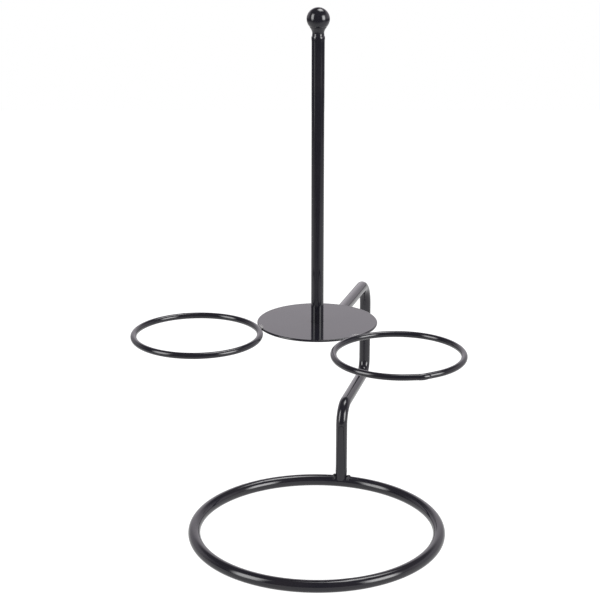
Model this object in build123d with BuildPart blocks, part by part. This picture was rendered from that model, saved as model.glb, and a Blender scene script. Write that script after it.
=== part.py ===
"""Sauce-cup stand: a round bar base ring, one bent bar that carries a small
plate and a tall middle rod with a ball on top, and two wire rings that hold
cups beside the plate.

Units are millimetres. The origin is the middle of the base ring at table
level. +Z is up, the user faces the stand from -Y and +X is on their right.
"""

from build123d import *

import math
import os

os.makedirs("parts", exist_ok=True)

# ---------------------------------------------------------------- dimensions

# bar stock shared by the base ring, the post, the arm and the middle rod
bar_dia = 7.0
bar_r = bar_dia / 2

# base ring, which lies on the table
base_ring_r = 71.0
base_seam_angle = 131.0
base_ring_z = bar_r

# plate on the middle rod
plate_r = 33.5
plate_thick = 1.2
plate_top_z = 131.0
plate_edge_round = 0.55
rod_hole_clear = 0.1
edge_round = min(plate_edge_round, 0.46 * plate_thick)
plate_mid_z = plate_top_z - plate_thick / 2
plate_bottom_z = plate_top_z - plate_thick
rod_hole_r = bar_r + rod_hole_clear

# bent bar: the corners of its centreline in the plane X = 0, from the foot up
foot_above_ring_mid = 1.7
low_bend_z = 52.2
outer_y = 144.5
outer_run_fall = 1.8
arm_under_plate = 9.6
arm_rise = 9.2
low_bend_r = 11.5
outer_bend_r = 9.0
arm_bend_r = 15.8
rod_bend_r = 9.0
foot_y = base_ring_r
foot_z = base_ring_z + foot_above_ring_mid
outer_bend_z = low_bend_z - outer_run_fall
arm_inner_z = plate_bottom_z - arm_under_plate
arm_bend_z = arm_inner_z - arm_rise

# ball finial
overall_height = 304.8
ball_dia = 12.3
ball_r = ball_dia / 2
ball_z = overall_height - ball_r

# top of the rod and the neck of weld that joins it to the ball
rod_top_gap = 1.45
rod_shoulder_round = 1.2
neck_waist_cut = 0.5
neck_waist_gap = 0.9
neck_flare = 1.3
neck_foot_gap = 1.85
neck_foot_cut = 0.16
rod_top_z = ball_z - ball_r - rod_top_gap
neck_waist_r = bar_r - neck_waist_cut
neck_waist_z = ball_z - ball_r - neck_waist_gap
neck_top_r = neck_waist_r + neck_flare
neck_top_z = ball_z - math.sqrt(ball_r**2 - neck_top_r**2)
neck_foot_r = bar_r - neck_foot_cut
neck_foot_z = ball_z - ball_r - neck_foot_gap

# cup rings, which touch the edge of the plate at its mid thickness
cup_ring_r = 34.4
cup_wire_dia = 3.4
left_angle_from_front = 58.1
right_angle_from_front = 50.5
left_seam_angle = 118.0
right_seam_angle = -60.0
cup_wire_r = cup_wire_dia / 2
cup_ring_z = plate_mid_z
cup_centre_dist = plate_r + cup_wire_r + cup_ring_r

# butt seams of the three rings
base_seam_half_gap = 0.8
cup_seam_half_gap = 0.6
base_seam_bulge = 0.15
base_seam_half_len = 2.4
left_seam_bulge = 0.08
right_seam_bulge = 0.3
cup_seam_half_len = 1.7

# fillet weld round the foot of the bent bar
foot_weld_leg = 1.6
foot_weld_rise = 3.4
foot_weld_drop = 1.3

# fillet weld round the rod under the plate
plate_weld_leg = 2.0

# tack welds, let into the plate's edge against each cup ring
tack_half_len = 2.9
tack_half_width = 1.7
tack_height = 0.9
tack_inset = 0.4
tack_bite = 0.45

# ------------------------------------------------------------ derived places

left_dir = math.radians(270.0 - left_angle_from_front)
right_dir = math.radians(270.0 + right_angle_from_front)
left_out = Vector(math.cos(left_dir), math.sin(left_dir), 0)
left_along = Vector(-math.sin(left_dir), math.cos(left_dir), 0)
right_out = Vector(math.cos(right_dir), math.sin(right_dir), 0)
right_along = Vector(-math.sin(right_dir), math.cos(right_dir), 0)
left_centre = left_out * cup_centre_dist + Vector(0, 0, cup_ring_z)
right_centre = right_out * cup_centre_dist + Vector(0, 0, cup_ring_z)
cup_gap_deg = math.degrees(2 * cup_seam_half_gap / cup_ring_r)
base_gap_deg = math.degrees(2 * base_seam_half_gap / base_ring_r)

# each ring's own frame: its middle, with its seam on the frame's X axis
base_seam_dir = Vector(
    math.cos(math.radians(base_seam_angle)), math.sin(math.radians(base_seam_angle)), 0
)
left_seam_dir = Vector(
    math.cos(math.radians(left_seam_angle)), math.sin(math.radians(left_seam_angle)), 0
)
right_seam_dir = Vector(
    math.cos(math.radians(right_seam_angle)), math.sin(math.radians(right_seam_angle)), 0
)
base_frame = Plane(origin=(0, 0, base_ring_z), x_dir=base_seam_dir, z_dir=(0, 0, 1))
left_frame = Plane(origin=left_centre, x_dir=left_seam_dir, z_dir=(0, 0, 1))
right_frame = Plane(origin=right_centre, x_dir=right_seam_dir, z_dir=(0, 0, 1))

# ------------------------------------------------------------------ base ring

# one bar bent to a circle, open by the width of its seam
base_start = base_frame.rotated((0, 0, base_gap_deg / 2))
base_end = base_frame.rotated((0, 0, -base_gap_deg / 2))
with BuildPart() as base_ring:
    with BuildSketch(Plane(origin=base_start.origin, x_dir=base_start.x_dir, z_dir=-base_start.y_dir)):
        with Locations((base_ring_r, 0)):
            Circle(bar_r)
    revolve(axis=Axis((0, 0, 0), (0, 0, 1)), revolution_arc=360.0 - base_gap_deg)
base_ring.part.label = "base_ring"
export_step(base_ring.part, "parts/base_ring.step")

# seam: a barrel of weld along the bar that fills the gap between its ends,
# lifted by its bulge so that the ring still lies flat
base_seam_plane = Plane(
    origin=base_frame.origin + base_frame.x_dir * base_ring_r + Vector(0, 0, base_seam_bulge),
    x_dir=base_frame.y_dir,
    z_dir=(0, 0, 1),
)
with BuildPart() as base_ring_seam:
    with BuildSketch(base_seam_plane):
        Ellipse(base_seam_half_len, bar_r + base_seam_bulge)
        split(bisect_by=Plane.XZ, keep=Keep.TOP)
    revolve(axis=Axis(base_seam_plane.origin, base_seam_plane.x_dir))
    split(bisect_by=Plane(base_start.origin, base_start.x_dir, base_start.y_dir), keep=Keep.BOTTOM)
    split(bisect_by=Plane(base_end.origin, base_end.x_dir, base_end.y_dir), keep=Keep.TOP)
base_ring_seam.part.label = "base_ring_seam"
export_step(base_ring_seam.part, "parts/base_ring_seam.step")

# ------------------------------------------------------------------- bent bar

# one bar: foot on the base ring, out behind it, up, back in and up as the rod
with BuildPart() as bent_bar:
    with BuildLine(Plane.YZ) as bar_path:
        FilletPolyline(
            (foot_y, base_ring_z),
            (foot_y, low_bend_z),
            (outer_y, outer_bend_z),
            (outer_y, arm_bend_z),
            (0, arm_inner_z),
            (0, rod_top_z),
            radius=[low_bend_r, outer_bend_r, arm_bend_r, rod_bend_r],
        )
    with BuildSketch(Plane(origin=(0, foot_y, base_ring_z), x_dir=(1, 0, 0), z_dir=(0, 0, 1))):
        Circle(bar_r)
    sweep(path=bar_path.line)
    fillet(bent_bar.faces().sort_by(Axis.Z)[-1].edges(), rod_shoulder_round)
    # the foot is cut level a little above the ring's middle, then fitted to it
    split(bisect_by=Plane.XY.offset(foot_z), keep=Keep.TOP)
    add(base_ring.part, mode=Mode.SUBTRACT)
bent_bar.part.label = "bent_bar"
export_step(bent_bar.part, "parts/bent_bar.step")

# fillet weld round the foot, over the top of the base ring
foot_axis_plane = Plane(origin=(0, foot_y, 0), x_dir=(1, 0, 0), z_dir=(0, -1, 0))
with BuildPart() as foot_weld:
    with BuildSketch(foot_axis_plane):
        with BuildLine():
            w1 = Line((0, foot_z - foot_weld_drop), (bar_r + foot_weld_leg, foot_z - foot_weld_drop))
            w2 = Line(w1 @ 1, (bar_r + foot_weld_leg, foot_z + 0.6))
            w3 = ThreePointArc(
                w2 @ 1,
                (bar_r + foot_weld_leg * 0.62, foot_z + foot_weld_rise * 0.62),
                (bar_r, foot_z + foot_weld_rise),
            )
            w4 = Polyline(w3 @ 1, (0, foot_z + foot_weld_rise), (0, foot_z - foot_weld_drop))
        make_face()
    revolve(axis=Axis((0, foot_y, 0), (0, 0, 1)))
    add(bent_bar.part, mode=Mode.SUBTRACT)
    add(base_ring.part, mode=Mode.SUBTRACT)
foot_weld.part.label = "foot_weld"
export_step(foot_weld.part, "parts/foot_weld.step")

# --------------------------------------------------------------- ball and neck

with BuildPart() as ball_finial:
    with BuildSketch(Plane.XZ):
        with BuildLine():
            b1 = CenterArc((0, ball_z), ball_r, -90, 180)
            b2 = Line(b1 @ 1, b1 @ 0)
        make_face()
    revolve(axis=Axis.Z)
ball_finial.part.label = "ball_finial"
export_step(ball_finial.part, "parts/ball_finial.step")

# waisted weld between the rounded end of the rod and the ball
with BuildPart() as ball_weld:
    with BuildSketch(Plane.XZ):
        with BuildLine():
            n1 = Polyline((neck_foot_r, neck_foot_z), (0, neck_foot_z), (0, neck_top_z))
            n2 = Line(n1 @ 1, (neck_top_r, neck_top_z))
            n3 = Spline(n2 @ 1, (neck_waist_r, neck_waist_z), n1 @ 0)
        make_face()
    revolve(axis=Axis.Z)
    add(ball_finial.part, mode=Mode.SUBTRACT)
    add(bent_bar.part, mode=Mode.SUBTRACT)
ball_weld.part.label = "ball_weld"
export_step(ball_weld.part, "parts/ball_weld.step")

# ------------------------------------------------------------------ cup rings

# left ring: a wire bent to a circle, open by the width of its seam
left_start = left_frame.rotated((0, 0, cup_gap_deg / 2))
left_end = left_frame.rotated((0, 0, -cup_gap_deg / 2))
with BuildPart() as cup_ring_left:
    with BuildSketch(Plane(origin=left_start.origin, x_dir=left_start.x_dir, z_dir=-left_start.y_dir)):
        with Locations((cup_ring_r, 0)):
            Circle(cup_wire_r)
    revolve(axis=Axis(left_centre, (0, 0, 1)), revolution_arc=360.0 - cup_gap_deg)
cup_ring_left.part.label = "cup_ring_left"
export_step(cup_ring_left.part, "parts/cup_ring_left.step")

# right ring, the same wire and size
right_start = right_frame.rotated((0, 0, cup_gap_deg / 2))
right_end = right_frame.rotated((0, 0, -cup_gap_deg / 2))
with BuildPart() as cup_ring_right:
    with BuildSketch(Plane(origin=right_start.origin, x_dir=right_start.x_dir, z_dir=-right_start.y_dir)):
        with Locations((cup_ring_r, 0)):
            Circle(cup_wire_r)
    revolve(axis=Axis(right_centre, (0, 0, 1)), revolution_arc=360.0 - cup_gap_deg)
cup_ring_right.part.label = "cup_ring_right"
export_step(cup_ring_right.part, "parts/cup_ring_right.step")

# left seam, ground nearly flush
left_seam_plane = Plane(
    origin=left_frame.origin + left_frame.x_dir * cup_ring_r,
    x_dir=left_frame.y_dir,
    z_dir=(0, 0, 1),
)
with BuildPart() as cup_seam_left:
    with BuildSketch(left_seam_plane):
        Ellipse(cup_seam_half_len, cup_wire_r + left_seam_bulge)
        split(bisect_by=Plane.XZ, keep=Keep.TOP)
    revolve(axis=Axis(left_seam_plane.origin, left_seam_plane.x_dir))
    split(bisect_by=Plane(left_start.origin, left_start.x_dir, left_start.y_dir), keep=Keep.BOTTOM)
    split(bisect_by=Plane(left_end.origin, left_end.x_dir, left_end.y_dir), keep=Keep.TOP)
cup_seam_left.part.label = "cup_seam_left"
export_step(cup_seam_left.part, "parts/cup_seam_left.step")

# right seam, left as a small lump
right_seam_plane = Plane(
    origin=right_frame.origin + right_frame.x_dir * cup_ring_r,
    x_dir=right_frame.y_dir,
    z_dir=(0, 0, 1),
)
with BuildPart() as cup_seam_right:
    with BuildSketch(right_seam_plane):
        Ellipse(cup_seam_half_len, cup_wire_r + right_seam_bulge)
        split(bisect_by=Plane.XZ, keep=Keep.TOP)
    revolve(axis=Axis(right_seam_plane.origin, right_seam_plane.x_dir))
    split(bisect_by=Plane(right_start.origin, right_start.x_dir, right_start.y_dir), keep=Keep.BOTTOM)
    split(bisect_by=Plane(right_end.origin, right_end.x_dir, right_end.y_dir), keep=Keep.TOP)
cup_seam_right.part.label = "cup_seam_right"
export_step(cup_seam_right.part, "parts/cup_seam_right.step")

# ----------------------------------------------------------------- tack welds

# low domes at the plate's edge that fill the corner against each cup ring
tack_z = plate_top_z - tack_bite
left_tack_plane = Plane(
    origin=left_out * (plate_r - tack_inset) + Vector(0, 0, tack_z),
    x_dir=left_along,
    z_dir=(0, 0, 1),
)
with BuildPart() as cup_weld_left:
    with BuildSketch(left_tack_plane):
        Ellipse(tack_half_len, tack_half_width)
    extrude(amount=tack_bite + tack_height)
    fillet(cup_weld_left.faces().sort_by(Axis.Z)[-1].edges(), tack_height * 0.9)
    add(cup_ring_left.part, mode=Mode.SUBTRACT)
cup_weld_left.part.label = "cup_weld_left"
export_step(cup_weld_left.part, "parts/cup_weld_left.step")

right_tack_plane = Plane(
    origin=right_out * (plate_r - tack_inset) + Vector(0, 0, tack_z),
    x_dir=right_along,
    z_dir=(0, 0, 1),
)
with BuildPart() as cup_weld_right:
    with BuildSketch(right_tack_plane):
        Ellipse(tack_half_len, tack_half_width)
    extrude(amount=tack_bite + tack_height)
    fillet(cup_weld_right.faces().sort_by(Axis.Z)[-1].edges(), tack_height * 0.9)
    add(cup_ring_right.part, mode=Mode.SUBTRACT)
cup_weld_right.part.label = "cup_weld_right"
export_step(cup_weld_right.part, "parts/cup_weld_right.step")

# ---------------------------------------------------------------------- plate

# thin disc with softened edges, slipped over the rod and notched by the tacks
with BuildPart() as plate:
    with BuildSketch(Plane.XY.offset(plate_bottom_z)):
        Circle(plate_r)
    extrude(amount=plate_thick)
    fillet(plate.edges().filter_by(GeomType.CIRCLE), edge_round)
    with BuildSketch(Plane.XY.offset(plate_bottom_z)):
        Circle(rod_hole_r)
    extrude(amount=plate_thick, mode=Mode.SUBTRACT)
    add(cup_weld_left.part, mode=Mode.SUBTRACT)
    add(cup_weld_right.part, mode=Mode.SUBTRACT)
plate.part.label = "plate"
export_step(plate.part, "parts/plate.step")

# fillet weld under the plate that holds it to the rod
with BuildPart() as plate_weld:
    with BuildSketch(Plane.XZ):
        with BuildLine():
            p1 = Line((0, plate_bottom_z), (bar_r + plate_weld_leg, plate_bottom_z))
            p2 = ThreePointArc(
                p1 @ 1,
                (bar_r + plate_weld_leg * 0.6, plate_bottom_z - plate_weld_leg * 0.6),
                (bar_r, plate_bottom_z - plate_weld_leg),
            )
            p3 = Polyline(p2 @ 1, (0, plate_bottom_z - plate_weld_leg), p1 @ 0)
        make_face()
    revolve(axis=Axis.Z)
    add(bent_bar.part, mode=Mode.SUBTRACT)
plate_weld.part.label = "plate_weld"
export_step(plate_weld.part, "parts/plate_weld.step")
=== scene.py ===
"""Looks of a gloss black sauce-cup stand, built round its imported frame.

One bent bar rises from a bar ring on the table, passes behind, and comes back
to carry a small plate and a tall rod with a ball. Two wire rings stand beside
the plate. Every bar, wire and weld is made again here with the marks of
bending and welding, under one coat of gloss black.
"""

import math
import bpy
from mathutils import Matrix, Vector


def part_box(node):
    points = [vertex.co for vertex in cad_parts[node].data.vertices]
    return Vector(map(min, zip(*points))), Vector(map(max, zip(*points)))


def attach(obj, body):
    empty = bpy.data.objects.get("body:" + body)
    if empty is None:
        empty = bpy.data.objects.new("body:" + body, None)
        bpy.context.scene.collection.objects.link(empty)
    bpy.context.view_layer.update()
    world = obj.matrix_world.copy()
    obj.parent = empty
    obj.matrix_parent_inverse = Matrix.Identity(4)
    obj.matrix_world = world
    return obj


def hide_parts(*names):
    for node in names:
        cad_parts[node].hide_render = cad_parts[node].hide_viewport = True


bl_info = {
    "name": "Sauce Cup Stand",
    "version": (1, 0, 0),
    "blender": (4, 5, 0),
    "location": "View3D > Sidebar > Cup Stand",
    "description": "Builds a gloss black wire stand with cup rings on its frame",
    "category": "Add Mesh",
}

import bmesh
import bpy
from mathutils import Matrix, Vector, noise

MM = 0.001
UP = Vector((0.0, 0.0, 1.0))

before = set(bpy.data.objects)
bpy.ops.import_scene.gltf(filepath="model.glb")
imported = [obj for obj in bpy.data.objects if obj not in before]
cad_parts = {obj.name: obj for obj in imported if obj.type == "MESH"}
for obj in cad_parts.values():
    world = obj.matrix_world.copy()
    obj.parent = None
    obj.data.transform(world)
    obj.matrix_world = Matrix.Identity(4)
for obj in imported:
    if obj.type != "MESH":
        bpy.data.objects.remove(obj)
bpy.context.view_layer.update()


def middle(node):
    """The middle of a frame node's box"""
    low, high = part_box(node)
    return (low + high) / 2


# ------------------------------------------------------------------ settings


class CupStandSizes(bpy.types.PropertyGroup):
    """Sizes of the bars, wires and plate"""

    bar_radius: bpy.props.FloatProperty(
        name="Bar radius",
        description="Half the thickness of the base ring, post, arm and rod",
        default=3.5 * MM,
        unit="LENGTH",
    )
    base_radius: bpy.props.FloatProperty(
        name="Base ring radius",
        description="Middle of the bar in the base ring",
        default=71.0 * MM,
        unit="LENGTH",
    )
    base_seam: bpy.props.FloatProperty(
        name="Base ring seam",
        description="Where the base ring's ends meet, counted from the right",
        default=math.radians(131.0),
        subtype="ANGLE",
    )
    low_bend_height: bpy.props.FloatProperty(
        name="Low bend height",
        description="Height of the corner above the foot",
        default=52.2 * MM,
        unit="LENGTH",
    )
    outer_bend_height: bpy.props.FloatProperty(
        name="Outer bend height",
        description="Height of the corner at the back, under the riser",
        default=50.4 * MM,
        unit="LENGTH",
    )
    arm_bend_height: bpy.props.FloatProperty(
        name="Arm bend height",
        description="Height of the corner at the back, over the riser",
        default=111.0 * MM,
        unit="LENGTH",
    )
    arm_inner_height: bpy.props.FloatProperty(
        name="Arm inner height",
        description="Height of the corner under the plate",
        default=120.2 * MM,
        unit="LENGTH",
    )
    bend_radii: bpy.props.FloatVectorProperty(
        name="Bend radii",
        description="Radius of each bend, from the foot to the rod",
        size=4,
        default=(11.5 * MM, 9.0 * MM, 15.8 * MM, 9.0 * MM),
        unit="LENGTH",
    )
    bend_flattening: bpy.props.FloatProperty(
        name="Bend flattening",
        description="How much the bar narrows in the middle of a bend",
        default=0.06,
        min=0.0,
        max=0.2,
        subtype="FACTOR",
    )
    wire_radius: bpy.props.FloatProperty(
        name="Wire radius",
        description="Half the thickness of the cup rings' wire",
        default=1.7 * MM,
        unit="LENGTH",
    )
    cup_radius: bpy.props.FloatProperty(
        name="Cup ring radius",
        description="Middle of the wire in a cup ring",
        default=34.4 * MM,
        unit="LENGTH",
    )
    left_seam: bpy.props.FloatProperty(
        name="Left seam",
        description="Where the left ring's ends meet",
        default=math.radians(118.0),
        subtype="ANGLE",
    )
    right_seam: bpy.props.FloatProperty(
        name="Right seam",
        description="Where the right ring's ends meet",
        default=math.radians(-60.0),
        subtype="ANGLE",
    )
    left_flat: bpy.props.FloatProperty(
        name="Left straight ends",
        description="Turn over which the left ring's ends stay straight",
        default=math.radians(4.0),
        subtype="ANGLE",
    )
    right_flat: bpy.props.FloatProperty(
        name="Right straight ends",
        description="Turn over which the right ring's ends stay straight",
        default=math.radians(12.0),
        subtype="ANGLE",
    )
    plate_radius: bpy.props.FloatProperty(
        name="Plate radius",
        description="Radius of the plate",
        default=33.5 * MM,
        unit="LENGTH",
    )
    plate_edge: bpy.props.FloatProperty(
        name="Plate edge",
        description="Rounding along the plate's rim",
        default=0.55 * MM,
        unit="LENGTH",
    )
    section_steps: bpy.props.IntProperty(
        name="Section steps",
        description="Faces round a bar or wire",
        default=40,
        min=12,
    )
    weld_ripple: bpy.props.FloatProperty(
        name="Weld ripple",
        description="Height of the ridges on a weld bead",
        default=0.14 * MM,
        unit="LENGTH",
    )


class CupStandCoat(bpy.types.PropertyGroup):
    """The gloss black coat"""

    colour: bpy.props.FloatVectorProperty(
        name="Colour",
        description="Colour under the gloss",
        default=(0.0106, 0.0102, 0.0138),
        subtype="COLOR",
        min=0.0,
        max=1.0,
    )
    roughness: bpy.props.FloatProperty(
        name="Roughness",
        description="How soft the coat's reflections are",
        default=0.085,
        min=0.0,
        max=1.0,
        subtype="FACTOR",
    )
    orange_peel: bpy.props.FloatProperty(
        name="Orange peel",
        description="Strength of the coat's faint waviness",
        default=0.12,
        min=0.0,
        max=1.0,
        subtype="FACTOR",
    )


class CupStandStage(bpy.types.PropertyGroup):
    """Floor, lights and camera"""

    room: bpy.props.FloatProperty(
        name="Room",
        description="Brightness of the white backdrop",
        default=1.18,
        min=0.0,
    )
    dark_side: bpy.props.FloatProperty(
        name="Dark side",
        description="Brightness of the room behind the camera",
        default=0.15,
        min=0.0,
    )
    box_glow: bpy.props.FloatProperty(
        name="Box glow",
        description="Radiance of the soft boxes",
        default=8.0,
        min=0.0,
    )
    lens: bpy.props.FloatProperty(
        name="Lens",
        description="Focal length on a 36 mm frame",
        default=97.56,
        min=1.0,
        unit="CAMERA",
    )
    look_down: bpy.props.FloatProperty(
        name="Look down",
        description="Pitch of the camera below level",
        default=math.radians(17.47),
        subtype="ANGLE",
    )
    turn: bpy.props.FloatProperty(
        name="Turn",
        description="Turn of the camera to the left of straight back",
        default=math.radians(13.03),
        subtype="ANGLE",
    )
    place: bpy.props.FloatVectorProperty(
        name="Camera place",
        description="Where the camera stands",
        default=(0.1850, -0.8421, 0.4146),
        subtype="TRANSLATION",
    )


# ------------------------------------------------------------ workshop tools

# points of a turned shape that lie closer than this are one point
MERGE_DISTANCE = 1e-7
# edges that turn more sharply than this are left crisp
SHARP_ANGLE = math.radians(60.0)


def once_each(items):
    """The items in their own order, without repeats"""
    return list(dict.fromkeys(items))


def section_verts(edges):
    """The vertices of a section"""
    return once_each(v for e in edges for v in e.verts)


def section_at(place, heading, side):
    """A frame whose Z runs along the bar and whose X points to one side"""
    z = heading.normalized()
    x = (side - z * side.dot(z)).normalized()
    turn = Matrix((x, z.cross(x), z)).transposed().to_4x4()
    return Matrix.Translation(place) @ turn


def start_section(bm, place, heading, side, radius, steps):
    """A circle of edges across the bar"""
    made = bmesh.ops.create_circle(
        bm,
        cap_ends=False,
        segments=steps,
        radius=radius,
        matrix=section_at(place, heading, side),
    )
    return once_each(e for v in made["verts"] for e in v.link_edges)


def pull(bm, edges, move, cuts=1):
    """Draws the section on by move, in equal cuts"""
    for _ in range(cuts):
        made = bmesh.ops.extrude_edge_only(bm, edges=edges)
        verts = [g for g in made["geom"] if isinstance(g, bmesh.types.BMVert)]
        edges = [g for g in made["geom"] if isinstance(g, bmesh.types.BMEdge)]
        bmesh.ops.translate(bm, verts=verts, vec=move / cuts)
    return edges


def swell(bm, edges, place, factor):
    """Scales a section about a point on the bar's middle"""
    bmesh.ops.scale(
        bm,
        verts=section_verts(edges),
        vec=(factor, factor, factor),
        space=Matrix.Translation(-place),
    )


def bend(bm, edges, centre, axis, turn, steps):
    """Spins the section round the middle of a bend"""
    made = bmesh.ops.spin(
        bm,
        geom=section_verts(edges) + edges,
        cent=centre,
        axis=axis,
        angle=turn,
        steps=steps,
        use_merge=False,
        use_duplicate=False,
    )
    return [g for g in made["geom_last"] if isinstance(g, bmesh.types.BMEdge)]


def cap(bm, edges):
    """Closes the end of a bar with a face"""
    bmesh.ops.edgeloop_fill(bm, edges=edges)


def turned(bm, outline, centre, steps, closed=False):
    """Spins an outline of (radius, height) points a full turn about Z"""
    verts = [bm.verts.new(centre + Vector((r, 0.0, h))) for r, h in outline]
    pairs = list(zip(verts, verts[1:] + verts[:1] if closed else verts[1:]))
    edges = [bm.edges.new(pair) for pair in pairs]
    bmesh.ops.spin(
        bm,
        geom=verts + edges,
        cent=centre,
        axis=UP,
        angle=math.tau,
        steps=steps,
        use_merge=True,
    )
    bmesh.ops.remove_doubles(bm, verts=bm.verts, dist=MERGE_DISTANCE)


def arc_points(centre, radius, start, stop, steps):
    """Points of an arc in an outline, as (radius, height)"""
    turn = (stop - start) / steps
    return [
        (
            centre[0] + radius * math.cos(start + turn * i),
            centre[1] + radius * math.sin(start + turn * i),
        )
        for i in range(steps + 1)
    ]


def smooth_step(x):
    """Rises gently from 0 to 1"""
    x = min(max(x, 0.0), 1.0)
    return x * x * (3.0 - 2.0 * x)


def finish_piece(bm, name, nodes, finish):
    """Turns a bmesh into a smooth piece that stands for its frame nodes"""
    bmesh.ops.recalc_face_normals(bm, faces=bm.faces)
    mesh = bpy.data.meshes.new(name)
    bm.to_mesh(mesh)
    bm.free()
    mesh.shade_smooth()
    mesh.set_sharp_from_angle(angle=SHARP_ANGLE)
    mesh.materials.append(finish)
    piece = bpy.data.objects.new(name, mesh)
    bpy.context.scene.collection.objects.link(piece)
    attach(piece, "root")
    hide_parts(*nodes)


# ------------------------------------------------------------------ node tools


def ranged(tree, source, low, high, start=0.0, end=1.0, gentle=False):
    """Turns low to high into start to end, along a straight or a gentle rise"""
    node = tree.nodes.new("ShaderNodeMapRange")
    node.interpolation_type = "SMOOTHSTEP" if gentle else "LINEAR"
    node.inputs["From Min"].default_value = low
    node.inputs["From Max"].default_value = high
    node.inputs["To Min"].default_value = start
    node.inputs["To Max"].default_value = end
    tree.links.new(source, node.inputs["Value"])
    return node.outputs["Result"]


def reckoned(tree, operation, first, second=None, clamp=False):
    """Does a sum on one socket, or on two"""
    node = tree.nodes.new("ShaderNodeMath")
    node.operation = operation
    node.use_clamp = clamp
    tree.links.new(first, node.inputs[0])
    if second is not None:
        tree.links.new(second, node.inputs[1])
    return node.outputs["Value"]


def product(tree, *sources):
    """Multiplies sockets together"""
    total = sources[0]
    for source in sources[1:]:
        total = reckoned(tree, "MULTIPLY", total, source)
    return total


def clouds(tree, where, scale, detail, roughness=0.5):
    """Cloudy noise over a place"""
    node = tree.nodes.new("ShaderNodeTexNoise")
    node.inputs["Scale"].default_value = scale
    node.inputs["Detail"].default_value = detail
    node.inputs["Roughness"].default_value = roughness
    tree.links.new(where, node.inputs["Vector"])
    return node.outputs["Fac"]


def relief(tree, height, strength, depth, under=None):
    """Raises and lowers the surface by a pattern, over another relief or none"""
    node = tree.nodes.new("ShaderNodeBump")
    node.inputs["Strength"].default_value = strength
    node.inputs["Distance"].default_value = depth
    tree.links.new(height, node.inputs["Height"])
    if under is not None:
        tree.links.new(under, node.inputs["Normal"])
    return node.outputs["Normal"]


def split_axes(tree, where):
    """Takes a place apart into its X, Y and Z"""
    node = tree.nodes.new("ShaderNodeSeparateXYZ")
    tree.links.new(where, node.inputs["Vector"])
    return node.outputs


# ----------------------------------------------------------------- materials

# patches of colour, patches of haze and specks of dust to the metre
DRIFT_SCALE = 45.0
HAZE_SCALE = 90.0
DUST_SCALE = 420.0
# how far a speck reaches, against the gap between specks, and how dull it is
SPECK_REACH = 0.09
SPECK_DULLNESS = 0.22
LUMP_DEPTH = 0.2 * MM


def gloss_black(
    name, peel_size, peel_depth, extra_rough=0.0, lumps=0.0, lump_size=2.0 * MM,
    body_colour=None,
):
    """Black enamel: dark body, clear gloss, orange peel and a little dust"""
    found = bpy.data.materials.get(name)
    if found:
        return found
    coat = bpy.context.scene.cup_stand_coat
    finish = bpy.data.materials.new(name)
    finish.use_nodes = True
    tree = finish.node_tree
    shader = tree.nodes["Principled BSDF"]
    shader.inputs["IOR"].default_value = 1.5
    shader.inputs["Specular IOR Level"].default_value = 0.5
    shader.inputs["Metallic"].default_value = 0.0
    where = tree.nodes.new("ShaderNodeTexCoord").outputs["Object"]

    # body colour drifts a little between a cool and a warm black
    body = tree.nodes.new("ShaderNodeValToRGB")
    r, g, b = body_colour or coat.colour
    cool, warm = body.color_ramp.elements
    cool.position = 0.35
    cool.color = (r * 0.85, g * 0.86, b * 0.98, 1.0)
    warm.position = 0.68
    warm.color = (r * 1.25, g * 1.2, b * 1.15, 1.0)
    tree.links.new(clouds(tree, where, DRIFT_SCALE, 3.0), body.inputs["Fac"])
    tree.links.new(body.outputs["Color"], shader.inputs["Base Color"])

    # gloss: clean coat with faint cloudy patches and fine dust
    haze = ranged(
        tree, clouds(tree, where, HAZE_SCALE, 5.0, roughness=0.6), 0.35, 0.75,
        coat.roughness * 0.8 + extra_rough, coat.roughness * 1.5 + extra_rough,
    )
    dust = tree.nodes.new("ShaderNodeTexVoronoi")
    dust.inputs["Scale"].default_value = DUST_SCALE
    tree.links.new(where, dust.inputs["Vector"])
    specks = ranged(tree, dust.outputs["Distance"], 0.0, SPECK_REACH, SPECK_DULLNESS, 0.0)
    dullness = reckoned(tree, "ADD", haze, specks, clamp=True)
    tree.links.new(dullness, shader.inputs["Roughness"])

    # orange peel, with lumps under it where they are asked for
    under = None
    if lumps:
        under = relief(tree, clouds(tree, where, 1.0 / lump_size, 1.0), lumps, LUMP_DEPTH)
    peel = clouds(tree, where, 1.0 / peel_size, 2.0)
    skin = relief(tree, peel, coat.orange_peel, peel_depth, under)
    tree.links.new(skin, shader.inputs["Normal"])
    return finish


def bar_enamel():
    """Coat on the thick bar, with a slow waviness along it"""
    return gloss_black("bar_enamel", 4.0 * MM, 0.05 * MM, lumps=0.05, lump_size=12.0 * MM)


def wire_enamel():
    """Coat on the thin wire"""
    return gloss_black("wire_enamel", 2.0 * MM, 0.05 * MM, lumps=0.10, lump_size=6.0 * MM)


def plate_enamel():
    """Coat on the flat plate, smoother than on the bars"""
    return gloss_black("plate_enamel", 5.0 * MM, 0.03 * MM, extra_rough=-0.01)


def weld_enamel():
    """Coat over weld beads, thicker and lumpy"""
    return gloss_black("weld_enamel", 1.5 * MM, 0.1 * MM, 0.03, lumps=0.5, lump_size=1.6 * MM)


def seam_enamel():
    """Coat over the ground-down seams of the rings"""
    return gloss_black("seam_enamel", 3.0 * MM, 0.05 * MM, lumps=0.12, lump_size=4.0 * MM)


def tack_enamel():
    """Coat over the small tacks, dull, with a grey body colour that is a painted highlight
    standing in for the glints on them
    """
    return gloss_black(
        "tack_enamel", 1.0 * MM, 0.1 * MM, 0.24, lumps=0.6, lump_size=0.9 * MM,
        # the grey body colour is a painted highlight: it makes the tacks look lit
        body_colour=(0.2, 0.2, 0.2),
    )


# ------------------------------------------------------------------ base ring

RING_STEPS = 288
BASE_SEAM_GAP = 1.6 * MM
BASE_SEAM_PROUD = 0.05 * MM
BASE_SEAM_HALF_LENGTH = 9.0 * MM
# the weld is ground flat where the ring stands, this far off the table
BASE_SEAM_LIFT = 0.02 * MM


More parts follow.
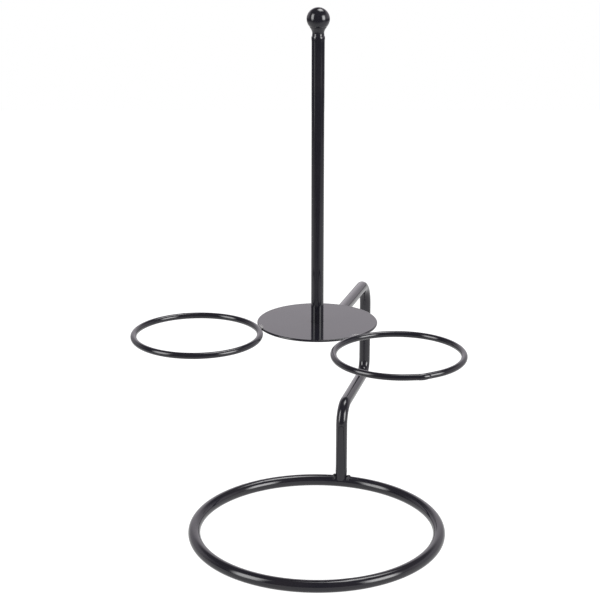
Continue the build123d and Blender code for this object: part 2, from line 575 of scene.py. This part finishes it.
def open_ring(bm, centre, ring_radius, bar_radius, seam, gap, steps):
    """A bar bent to a circle, with its capped ends either side of the seam"""
    start = seam + gap / 2
    out = Vector((math.cos(start), math.sin(start), 0.0))
    section = start_section(
        bm, centre + out * ring_radius, UP.cross(out), out, bar_radius, steps
    )
    last = bend(bm, section, centre, UP, math.tau - gap, RING_STEPS)
    cap(bm, section)
    cap(bm, last)


def straighten_ends(bm, centre, ring_radius, seam, flat):
    """Leaves the ring's ends straight, so that they meet at a slight corner"""
    for v in bm.verts:
        arm = v.co - centre
        off = abs((math.atan2(arm.y, arm.x) - seam + math.pi) % math.tau - math.pi)
        if off < flat:
            out = Vector((arm.x, arm.y, 0.0)).normalized()
            v.co += out * ring_radius * (1.0 / math.cos(flat - off) - 1.0)


def seam_bead(bm, place, along, radius, half_length, ripple):
    """A barrel of weld round a bar, with two ridges to each half and a fine grain"""
    bmesh.ops.create_uvsphere(
        bm,
        u_segments=36,
        v_segments=24,
        radius=1.0,
        matrix=section_at(place, along, UP)
        @ Matrix.Diagonal((radius, radius, half_length, 1.0)),
    )
    grain = 900.0
    for v in bm.verts:
        arm = v.co - place
        far = arm.dot(along)
        out = arm - along * far
        if out.length > 0.2 * radius:
            ridge = math.sin(far / half_length * 4.0 * math.pi)
            lump = noise.noise(v.co * grain)
            v.co += out.normalized() * ripple * (0.5 * ridge + 0.6 * lump)


class CUPSTAND_OT_base_ring(bpy.types.Operator):
    """Bend the base ring and close it with its seam"""

    bl_idname = "cupstand.base_ring"
    bl_label = "Base Ring"

    def execute(self, context):
        sizes = context.scene.cup_stand_sizes
        low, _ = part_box("base_ring")
        centre = Vector((0.0, 0.0, low.z + sizes.bar_radius))
        out = Vector((math.cos(sizes.base_seam), math.sin(sizes.base_seam), 0.0))

        bm = bmesh.new()
        gap = BASE_SEAM_GAP / sizes.base_radius
        open_ring(
            bm, centre, sizes.base_radius, sizes.bar_radius, sizes.base_seam, gap,
            sizes.section_steps,
        )
        finish_piece(bm, "base_ring_bar", ["base_ring"], bar_enamel())

        bm = bmesh.new()
        seam_bead(
            bm, centre + out * sizes.base_radius, UP.cross(out),
            sizes.bar_radius + BASE_SEAM_PROUD, BASE_SEAM_HALF_LENGTH,
            sizes.weld_ripple * 0.25,
        )
        for v in bm.verts:
            v.co.z = max(v.co.z, BASE_SEAM_LIFT)
        finish_piece(bm, "base_ring_weld", ["base_ring_seam"], seam_enamel())
        return {"FINISHED"}


# ------------------------------------------------------------------- bent bar

BEND_STEPS = 30
# cuts along each straight before a bend, and along the rod
STRAIGHT_CUTS = 6
ROD_CUTS = 10
# how far the foot starts below its node's lowest point, inside the base ring
FOOT_SUNK = 0.3 * MM
# rise in mm, and thickness against the cut before
FOOT_CUTS = ((2.2, 0.97), (1.6, 1.035), (1.6, 1.03), (2.6, 0.965), (4.0, 1.0))
# rise in mm, and thickness against the rod's
SHOULDER_CUTS = (
    (0.8, 1.01), (0.8, 1.03), (0.7, 1.04), (0.5, 1.035), (0.35, 1.01),
    (0.25, 0.975), (0.2, 0.935), (0.45, 0.93), (0.45, 0.925), (0.25, 0.9),
)
SHOULDER_LUMP = 0.07 * MM


def flatten_bend(verts, centre, axis, radius, before, turn, amount):
    """Narrows the section towards the middle of a bend"""
    first = -axis.cross(before)
    for v in verts:
        arm = v.co - centre
        flat = arm - axis * arm.dot(axis)
        at = math.atan2(flat.dot(before), flat.dot(first)) / turn
        if 0.0 < at < 1.0:
            squeeze = amount * math.sin(math.pi * at) ** 2
            middle_point = flat.normalized() * radius
            v.co -= (flat - middle_point) * squeeze


def bent_bar_route(sizes):
    """Corners of the bar's middle line, from the foot to under the ball"""
    low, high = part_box("bent_bar")
    back = high.y - sizes.bar_radius
    foot = sizes.base_radius
    return [
        Vector((0.0, foot, low.z - FOOT_SUNK)),
        Vector((0.0, foot, sizes.low_bend_height)),
        Vector((0.0, back, sizes.outer_bend_height)),
        Vector((0.0, back, sizes.arm_bend_height)),
        Vector((0.0, 0.0, sizes.arm_inner_height)),
        Vector((0.0, 0.0, high.z)),
    ]


def roughen_shoulder(bm, bottom, bar_radius):
    """Gives the rod's shoulder the uneven skin of a weld, from its bottom up"""
    grain = 330.0
    for v in bm.verts:
        near = smooth_step((v.co.z - bottom) / (2.0 * MM))
        reach = Vector((v.co.x, v.co.y, 0.0))
        if near > 0.0 and reach.length > 0.5 * bar_radius:
            lump = noise.noise(v.co * grain + Vector((3.0, 1.0, 7.0)))
            v.co += reach.normalized() * near * SHOULDER_LUMP * lump


class CUPSTAND_OT_bent_bar(bpy.types.Operator):
    """Bend the bar that makes the post, the arm and the rod"""

    bl_idname = "cupstand.bent_bar"
    bl_label = "Bent Bar"

    def execute(self, context):
        sizes = context.scene.cup_stand_sizes
        route = bent_bar_route(sizes)
        bm = bmesh.new()

        # the foot swells a little over its weld
        at = route[0]
        edges = start_section(
            bm, at, UP, Vector((1, 0, 0)), sizes.bar_radius, sizes.section_steps
        )
        cap(bm, edges)
        for rise, factor in FOOT_CUTS:
            edges = pull(bm, edges, UP * rise * MM)
            at = at + UP * rise * MM
            swell(bm, edges, at, factor)

        for k, bend_radius in enumerate(sizes.bend_radii, start=1):
            before = (route[k] - route[k - 1]).normalized()
            after = (route[k + 1] - route[k]).normalized()
            turn = before.angle(after)
            reach = bend_radius * math.tan(turn / 2)
            stop = route[k] - before * reach
            edges = pull(bm, edges, stop - at, STRAIGHT_CUTS)
            axis = before.cross(after).normalized()
            centre = stop + axis.cross(before) * bend_radius
            old = set(bm.verts)
            edges = bend(bm, edges, centre, axis, turn, BEND_STEPS)
            new = [v for v in bm.verts if v not in old]
            flatten_bend(new, centre, axis, bend_radius, before, turn, sizes.bend_flattening)
            at = route[k] + after * reach

        # the rod's end swells at its shoulder and rounds over into the neck
        tall = sum(rise for rise, _ in SHOULDER_CUTS)
        shoulder = route[-1] - UP * tall * MM
        edges = pull(bm, edges, shoulder - at, ROD_CUTS)
        at = shoulder
        last = 1.0
        for rise, factor in SHOULDER_CUTS:
            edges = pull(bm, edges, UP * rise * MM)
            at = at + UP * rise * MM
            swell(bm, edges, at, factor / last)
            last = factor
        cap(bm, edges)
        roughen_shoulder(bm, shoulder.z, sizes.bar_radius)
        finish_piece(bm, "bent_rod", ["bent_bar"], bar_enamel())
        return {"FINISHED"}


# ---------------------------------------------------------------------- plate

PLATE_STEPS = 256
RIM_STEPS = 7
COLLAR_STEPS = 96
# room between the rod and the plate's hole, and how far in an edge is held sharp
HOLE_ROOM = 0.1 * MM
EDGE_HOLD = 0.25 * MM
# the coat stands a little proud inside the rim's rounding: how far in and up, in mm
COAT_RIDGE = ((0.12, 0.045), (0.35, 0.055), (0.9, 0.0), (1.1, 0.0))
# how far the weld under the plate is let into the rod
PLATE_BEAD_SUNK = 0.2 * MM
PLATE_BEAD_RIDGES = 22.0


def node_leg(node, bar_radius):
    """How far a weld collar reaches out from the bar"""
    low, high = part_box(node)
    return (high.x - low.x) / 2 - bar_radius


class CUPSTAND_OT_plate(bpy.types.Operator):
    """Turn the plate and the weld under it"""

    bl_idname = "cupstand.plate"
    bl_label = "Plate"

    def execute(self, context):
        sizes = context.scene.cup_stand_sizes
        bar = sizes.bar_radius
        low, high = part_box("plate")
        underside = Vector((0.0, 0.0, low.z))
        thick = high.z - low.z
        edge = min(sizes.plate_edge, 0.46 * thick)
        hole = bar + HOLE_ROOM
        rim = sizes.plate_radius - edge

        outline = [(hole, 0.0), (hole + EDGE_HOLD, 0.0), (rim - EDGE_HOLD, 0.0)]
        outline += arc_points((rim, edge), edge, -math.pi / 2, 0.0, RIM_STEPS)
        outline += arc_points((rim, thick - edge), edge, 0.0, math.pi * 0.4, RIM_STEPS)
        outline += [(rim - inset * MM, thick + rise * MM) for inset, rise in COAT_RIDGE]
        outline += [(hole + EDGE_HOLD, thick), (hole, thick)]
        bm = bmesh.new()
        turned(bm, outline, underside, PLATE_STEPS, closed=True)
        finish_piece(bm, "plate_disc", ["plate"], plate_enamel())

        # the bead's face is an arc that bulges between the plate and the rod
        leg = node_leg("plate_weld", bar)
        wall = bar - PLATE_BEAD_SUNK
        heart = (bar + leg * 0.35, -leg * 0.35)
        outline = [(wall, 0.0), (bar + leg, 0.0)]
        outline += arc_points(heart, leg * 0.6, 0.2, -math.pi / 2 - 0.2, 8)
        outline += [(wall, -leg)]
        bm = bmesh.new()
        turned(bm, outline, underside, COLLAR_STEPS, closed=True)
        for v in bm.verts:
            reach = Vector((v.co.x, v.co.y, 0.0))
            if reach.length > bar + 0.3 * MM:
                ridge = math.sin(math.atan2(v.co.y, v.co.x) * PLATE_BEAD_RIDGES)
                v.co -= reach.normalized() * sizes.weld_ripple * (0.6 + 0.6 * ridge)
        finish_piece(bm, "plate_bead", ["plate_weld"], weld_enamel())
        return {"FINISHED"}


# --------------------------------------------------------------- ball and neck

# the neck's side: out from the bar's side, and up from the ball's bottom, in mm
NECK_SIDE = (
    (-0.7, -2.0), (-0.42, -1.75), (-0.36, -1.5), (-0.32, -1.1), (-0.24, -0.7),
    (-0.1, -0.2), (0.14, 0.4), (0.55, 1.15), (0.98, 1.85), (0.6, 2.4),
)
NECK_TOP = 2.6 * MM
NECK_LUMP = 0.05 * MM


class CUPSTAND_OT_ball(bpy.types.Operator):
    """Turn the ball and the waisted neck under it"""

    bl_idname = "cupstand.ball"
    bl_label = "Ball and Neck"

    def execute(self, context):
        bar = context.scene.cup_stand_sizes.bar_radius
        low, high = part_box("ball_finial")
        radius = (high.z - low.z) / 2
        centre = Vector((0.0, 0.0, high.z - radius))

        bm = bmesh.new()
        bmesh.ops.create_uvsphere(
            bm, u_segments=96, v_segments=64, radius=radius, matrix=Matrix.Translation(centre)
        )
        finish_piece(bm, "ball_knob", ["ball_finial"], bar_enamel())

        side = [(bar + out * MM, -radius + up * MM) for out, up in NECK_SIDE]
        outline = [(0.0, side[0][1])] + side + [(0.0, -radius + NECK_TOP)]
        bm = bmesh.new()
        turned(bm, outline, centre, COLLAR_STEPS)
        grain = 520.0
        for v in bm.verts:
            reach = Vector((v.co.x, v.co.y, 0.0))
            if reach.length > 0.5 * bar:
                v.co += reach.normalized() * NECK_LUMP * noise.noise(v.co * grain)
        bmesh.ops.subdivide_edges(
            bm,
            edges=[e for e in bm.edges if e.calc_length() < 2.0 * MM],
            cuts=1,
            smooth=0.6,
            use_grid_fill=True,
        )
        finish_piece(bm, "ball_neck", ["ball_weld"], weld_enamel())
        return {"FINISHED"}


# ------------------------------------------------------------------ cup rings

WIRE_STEPS = 32
CUP_SEAM_GAP = 1.2 * MM
CUP_SEAM_HALF_LENGTH = 5.0 * MM


class CUPSTAND_OT_cup_rings(bpy.types.Operator):
    """Bend both cup rings and close them with their seams"""

    bl_idname = "cupstand.cup_rings"
    bl_label = "Cup Rings"

    def execute(self, context):
        sizes = context.scene.cup_stand_sizes
        for side, seam, flat, proud in (
            ("left", sizes.left_seam, sizes.left_flat, 0.04 * MM),
            ("right", sizes.right_seam, sizes.right_flat, 0.06 * MM),
        ):
            centre = middle("cup_ring_" + side)
            out = Vector((math.cos(seam), math.sin(seam), 0.0))
            bm = bmesh.new()
            gap = CUP_SEAM_GAP / sizes.cup_radius
            open_ring(
                bm, centre, sizes.cup_radius, sizes.wire_radius, seam, gap, WIRE_STEPS
            )
            straighten_ends(bm, centre, sizes.cup_radius, seam, flat)
            finish_piece(
                bm, side + "_cup_ring", ["cup_ring_" + side], wire_enamel()
            )
            reach = sizes.cup_radius / math.cos(flat)
            bm = bmesh.new()
            seam_bead(
                bm, centre + out * reach, UP.cross(out), sizes.wire_radius + proud,
                CUP_SEAM_HALF_LENGTH, sizes.weld_ripple * 0.2,
            )
            finish_piece(
                bm, side + "_cup_seam", ["cup_seam_" + side], seam_enamel()
            )
        return {"FINISHED"}


# ---------------------------------------------------------------------- welds

# side of the foot, then in mm: half thickness, distance off the post, depth let in
FOOT_BEADS = ((-1.0, 1.2, 0.8, 0.5), (1.0, 1.5, 1.0, 0.8))
FOOT_BEAD_LEAN = math.radians(66.0)
FOOT_BEAD_RIDGES = 6.0
ARCH_SECTION_STEPS = 20
ARCH_STEPS = 40
# a bead's thickness at its ends, against its middle
ARCH_END = 0.25
TACK_LENGTH = 5.8 * MM
TACK_WIDTH = 2.9 * MM
TACK_HEIGHT = 0.85 * MM
TACK_RIDGES = 5.0
# how far a tack's middle is in from the plate's rim and above its top
TACK_INSET = 0.3 * MM
TACK_RISE = 0.1 * MM


def arched_bead(bm, pivot, start, along_axis, sweep, radius, ripple, ridges):
    """A rippled bead bent over a bar: a section spun about the bar's middle"""
    heading = along_axis.cross(start - pivot)
    section = start_section(bm, start, heading, along_axis, radius, ARCH_SECTION_STEPS)
    last = bend(bm, section, pivot, along_axis, sweep, ARCH_STEPS)
    cap(bm, section)
    cap(bm, last)
    reach = (start - pivot).length
    first = (start - pivot).normalized()
    cross = along_axis.cross(first)
    for v in bm.verts:
        arm = v.co - pivot
        at = math.atan2(arm.dot(cross), arm.dot(first)) / sweep
        heart = pivot + (first * math.cos(at * sweep) + cross * math.sin(at * sweep)) * reach
        full = math.sqrt(max(1.0 - (2.0 * at - 1.0) ** 2, 0.0))
        ridge = 1.0 + ripple / radius * math.sin(at * ridges * math.tau)
        v.co = heart + (v.co - heart) * (ARCH_END + (1.0 - ARCH_END) * full) * ridge


def tack_bead(bm, place, along, up, length, width, height, ripple):
    """A short rippled bead lying along a joint"""
    across = up.cross(along)
    bmesh.ops.create_uvsphere(
        bm,
        u_segments=32,
        v_segments=28,
        radius=1.0,
        matrix=section_at(place, along, across)
        @ Matrix.Diagonal((width / 2, height, length / 2, 1.0)),
    )
    grain = 700.0
    for v in bm.verts:
        arm = v.co - place
        far = arm.dot(along)
        ridge = math.sin(far / length * TACK_RIDGES * math.tau)
        out = arm - along * far
        if out.length > 0.05 * MM:
            v.co += out.normalized() * ripple * (ridge + 0.8 * noise.noise(v.co * grain))


class CUPSTAND_OT_welds(bpy.types.Operator):
    """Lay the beads at the foot and beside the plate"""

    bl_idname = "cupstand.welds"
    bl_label = "Welds"

    def execute(self, context):
        sizes = context.scene.cup_stand_sizes
        bar = sizes.bar_radius

        # two beads arched over the base ring, one at each side of the foot
        pivot = Vector((0.0, sizes.base_radius, bar))
        axis = Vector((1.0, 0.0, 0.0))
        bm = bmesh.new()
        for sign, thick, off, sunk in FOOT_BEADS:
            heart = pivot + axis * sign * (bar + off * MM)
            tilt = Matrix.Rotation(-FOOT_BEAD_LEAN, 3, axis)
            start = heart + tilt @ (UP * (bar - sunk * MM))
            bead = bmesh.new()
            arched_bead(
                bead, heart, start, axis, 2 * FOOT_BEAD_LEAN, thick * MM,
                sizes.weld_ripple, FOOT_BEAD_RIDGES,
            )
            part = bpy.data.meshes.new("bead")
            bead.to_mesh(part)
            bead.free()
            bm.from_mesh(part)
            bpy.data.meshes.remove(part)
        finish_piece(bm, "foot_beads", ["foot_weld"], weld_enamel())

        # a short bead in the corner between the plate and each cup ring
        _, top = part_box("plate")
        for side in ("left", "right"):
            out = middle("cup_ring_" + side)
            out.z = 0.0
            out.normalize()
            place = out * (sizes.plate_radius - TACK_INSET) + UP * (top.z + TACK_RISE)
            bm = bmesh.new()
            tack_bead(
                bm, place, UP.cross(out), UP, TACK_LENGTH, TACK_WIDTH, TACK_HEIGHT,
                sizes.weld_ripple * 0.8,
            )
            finish_piece(
                bm, side + "_tack", ["cup_weld_" + side], tack_enamel()
            )
        return {"FINISHED"}


# ---------------------------------------------------------------------- stage

PAPER_FRONT = -0.6
PAPER_BACK = 1.3
PAPER_HALF_WIDTH = 1.1
WHITE = (1.0, 1.0, 1.0, 1.0)
ROOM_TINT = (0.985, 0.935, 1.0, 1.0)
# what the lights face, in the middle of the stand's height
STAND_HEART = Vector((0.0, 0.0, 0.15))
# how far in from its edge a light's cloth is dimmed, as a share of its width
CLOTH_FADE = 0.34
# name, turn and height of its heading in degrees, distance, width and height in
# metres, glow against the boxes' glow, and lean in degrees
LIGHTS = (
    ("left_box", 64.0, 24.0, 1.6, 1.05, 2.0, 0.95, 12.0),
    ("right_box", -57.5, 18.5, 1.6, 1.2, 1.55, 1.25, -8.0),
    ("top_box", -142.0, 69.0, 1.5, 0.95, 1.1, 1.0, 0.0),
    ("left_strip", 63.0, -14.0, 1.6, 0.3, 0.9, 0.3, 0.0),
)


def heading_from(stage, side_degrees, height_degrees):
    """A direction given as turned from the camera's side and lifted"""
    back = -stage.turn + math.radians(side_degrees)
    level = Vector((-math.sin(back), -math.cos(back), 0.0))
    lift = math.radians(height_degrees)
    return level * math.cos(lift) + UP * math.sin(lift)


def soft_box(name, direction, distance, width, height, glow, lean):
    """A rectangular light that faces the stand from a direction"""
    light = bpy.data.lights.new(name, "AREA")
    light.shape = "RECTANGLE"
    light.size = width
    light.size_y = height
    light.energy = glow * math.pi * width * height
    box = bpy.data.objects.new(name, light)
    box.location = STAND_HEART + direction.normalized() * distance
    faced = direction.to_track_quat("Z", "Y").to_matrix()
    faced = faced @ Matrix.Rotation(math.radians(lean), 3, "Z")
    box.rotation_euler = faced.to_euler()
    box.visible_camera = False
    bpy.context.scene.collection.objects.link(box)

    # the cloth is brightest in the middle and fades to its edges
    light.use_nodes = True
    tree = light.node_tree
    cloth = tree.nodes.new("ShaderNodeNewGeometry")
    axes = split_axes(tree, cloth.outputs["Parametric"])
    fades = []
    for way in ("X", "Y"):
        inwards = tree.nodes.new("ShaderNodeMath")
        inwards.operation = "PINGPONG"
        inwards.inputs[1].default_value = 0.5
        tree.links.new(axes[way], inwards.inputs[0])
        fades.append(ranged(tree, inwards.outputs["Value"], 0.0, CLOTH_FADE, gentle=True))
    tree.links.new(product(tree, *fades), tree.nodes["Emission"].inputs["Strength"])


def white_room(stage):
    """White behind the stand, dimmer behind the camera, plain white to view"""
    world = bpy.data.worlds.new("white_room")
    bpy.context.scene.world = world
    world.use_nodes = True
    tree = world.node_tree
    tree.nodes.clear()
    where = tree.nodes.new("ShaderNodeTexCoord").outputs["Generated"]
    axes = split_axes(tree, where)

    # white where the backdrop stands, fading out from 25 to 38 degrees high and
    # below the horizon
    behind = ranged(tree, axes["Y"], -0.25, 0.35, gentle=True)
    below = ranged(tree, axes["Z"], 0.62, 0.42, gentle=True)
    above = ranged(tree, axes["Z"], -0.12, 0.08, gentle=True)

    # the backdrop is brightest straight behind and dimmer to both sides
    across = tree.nodes.new("ShaderNodeVectorMath")
    across.operation = "DOT_PRODUCT"
    across.inputs[1].default_value = (math.cos(stage.turn), math.sin(stage.turn), 0.0)
    tree.links.new(where, across.inputs[0])
    aside = reckoned(tree, "ABSOLUTE", across.outputs["Value"])
    sides = ranged(tree, aside, 0.12, 0.5, 1.0, 0.62, gentle=True)

    lit = product(tree, behind, below, above, sides)
    around = tree.nodes.new("ShaderNodeBackground")
    around.inputs["Color"].default_value = ROOM_TINT
    level = ranged(tree, lit, 0.0, 1.0, stage.dark_side, stage.room)
    tree.links.new(level, around.inputs["Strength"])
    seen = tree.nodes.new("ShaderNodeBackground")
    seen.inputs["Color"].default_value = WHITE
    seen.inputs["Strength"].default_value = 1.0
    path = tree.nodes.new("ShaderNodeLightPath")
    mix = tree.nodes.new("ShaderNodeMixShader")
    tree.links.new(path.outputs["Is Camera Ray"], mix.inputs["Fac"])
    tree.links.new(around.outputs["Background"], mix.inputs[1])
    tree.links.new(seen.outputs["Background"], mix.inputs[2])
    out = tree.nodes.new("ShaderNodeOutputWorld")
    tree.links.new(mix.outputs["Shader"], out.inputs["Surface"])


def pale_paper():
    """Paper that glows, dimmer to its front and sides except where it is looked at"""
    paper = bpy.data.materials.new("pale_paper")
    paper.use_nodes = True
    tree = paper.node_tree
    shader = tree.nodes["Principled BSDF"]
    shader.inputs["Base Color"].default_value = (0.16, 0.16, 0.16, 1.0)
    shader.inputs["Roughness"].default_value = 0.9
    shader.inputs["Specular IOR Level"].default_value = 0.0
    shader.inputs["Emission Color"].default_value = WHITE
    axes = split_axes(tree, tree.nodes.new("ShaderNodeTexCoord").outputs["Object"])
    fade = ranged(tree, axes["Y"], PAPER_FRONT, PAPER_FRONT + 0.45, 0.1, 0.72, gentle=True)
    aside = reckoned(tree, "ABSOLUTE", axes["X"])
    sides = ranged(tree, aside, 0.4, PAPER_HALF_WIDTH, 1.0, 0.25, gentle=True)
    path = tree.nodes.new("ShaderNodeLightPath")
    glow = reckoned(
        tree, "MAXIMUM", product(tree, fade, sides), path.outputs["Is Camera Ray"]
    )
    tree.links.new(glow, shader.inputs["Emission Strength"])
    return paper


def lay_paper(stage):
    """Lays the pale floor under the stand, square to the camera"""
    bm = bmesh.new()
    half_depth = (PAPER_BACK - PAPER_FRONT) / 2
    bmesh.ops.create_grid(
        bm, x_segments=1, y_segments=1, size=1.0,
        matrix=Matrix.Rotation(stage.turn, 4, "Z")
        @ Matrix.Translation((0.0, PAPER_FRONT + half_depth, 0.0))
        @ Matrix.Diagonal((PAPER_HALF_WIDTH, half_depth, 1.0, 1.0)),
    )
    mesh = bpy.data.meshes.new("pale_floor")
    bm.to_mesh(mesh)
    bm.free()
    mesh.materials.append(pale_paper())
    floor = bpy.data.objects.new("pale_floor", mesh)
    bpy.context.scene.collection.objects.link(floor)


def place_camera(stage):
    """Stands the camera where the settings say and looks through it"""
    camera = bpy.data.cameras.new("view")
    camera.sensor_width = 36.0
    camera.lens = stage.lens
    viewer = bpy.data.objects.new("view", camera)
    viewer.location = stage.place
    viewer.rotation_euler = (math.pi / 2 - stage.look_down, 0.0, stage.turn)
    bpy.context.scene.collection.objects.link(viewer)
    bpy.context.scene.camera = viewer


class CUPSTAND_OT_stage(bpy.types.Operator):
    """Set the pale floor, the soft boxes, the room and the camera"""

    bl_idname = "cupstand.stage"
    bl_label = "Stage"

    def execute(self, context):
        stage = context.scene.cup_stand_stage
        context.scene.view_settings.view_transform = "Standard"
        lay_paper(stage)
        for name, side, lift, distance, width, height, share, lean in LIGHTS:
            heading = heading_from(stage, side, lift)
            soft_box(name, heading, distance, width, height, stage.box_glow * share, lean)
        white_room(stage)
        place_camera(stage)
        return {"FINISHED"}


# ---------------------------------------------------------------------- panel


class CUPSTAND_PT_panel(bpy.types.Panel):
    """Lists the steps that build the stand"""

    bl_idname = "CUPSTAND_PT_panel"
    bl_label = "Cup Stand"
    bl_space_type = "VIEW_3D"
    bl_region_type = "UI"
    bl_category = "Cup Stand"

    def draw(self, context):
        for cls in BUILD_STEPS:
            self.layout.operator(cls.bl_idname)
        for group in ("cup_stand_sizes", "cup_stand_coat", "cup_stand_stage"):
            settings = getattr(context.scene, group)
            box = self.layout.box()
            for key in type(settings).__annotations__:
                box.prop(settings, key)


BUILD_STEPS = (
    CUPSTAND_OT_base_ring,
    CUPSTAND_OT_bent_bar,
    CUPSTAND_OT_plate,
    CUPSTAND_OT_ball,
    CUPSTAND_OT_cup_rings,
    CUPSTAND_OT_welds,
    CUPSTAND_OT_stage,
)
CLASSES = (CupStandSizes, CupStandCoat, CupStandStage) + BUILD_STEPS + (CUPSTAND_PT_panel,)


def register():
    """Registers the settings, the steps and the panel"""
    for cls in CLASSES:
        bpy.utils.register_class(cls)
    bpy.types.Scene.cup_stand_sizes = bpy.props.PointerProperty(type=CupStandSizes)
    bpy.types.Scene.cup_stand_coat = bpy.props.PointerProperty(type=CupStandCoat)
    bpy.types.Scene.cup_stand_stage = bpy.props.PointerProperty(type=CupStandStage)


def unregister():
    """Takes back what register did"""
    del bpy.types.Scene.cup_stand_stage
    del bpy.types.Scene.cup_stand_coat
    del bpy.types.Scene.cup_stand_sizes
    for cls in reversed(CLASSES):
        bpy.utils.unregister_class(cls)


def main():
    """Builds the stand and its stage"""
    register()
    bpy.ops.cupstand.base_ring()
    bpy.ops.cupstand.bent_bar()
    bpy.ops.cupstand.plate()
    bpy.ops.cupstand.ball()
    bpy.ops.cupstand.cup_rings()
    bpy.ops.cupstand.welds()
    bpy.ops.cupstand.stage()


if __name__ == "__main__":
    main()
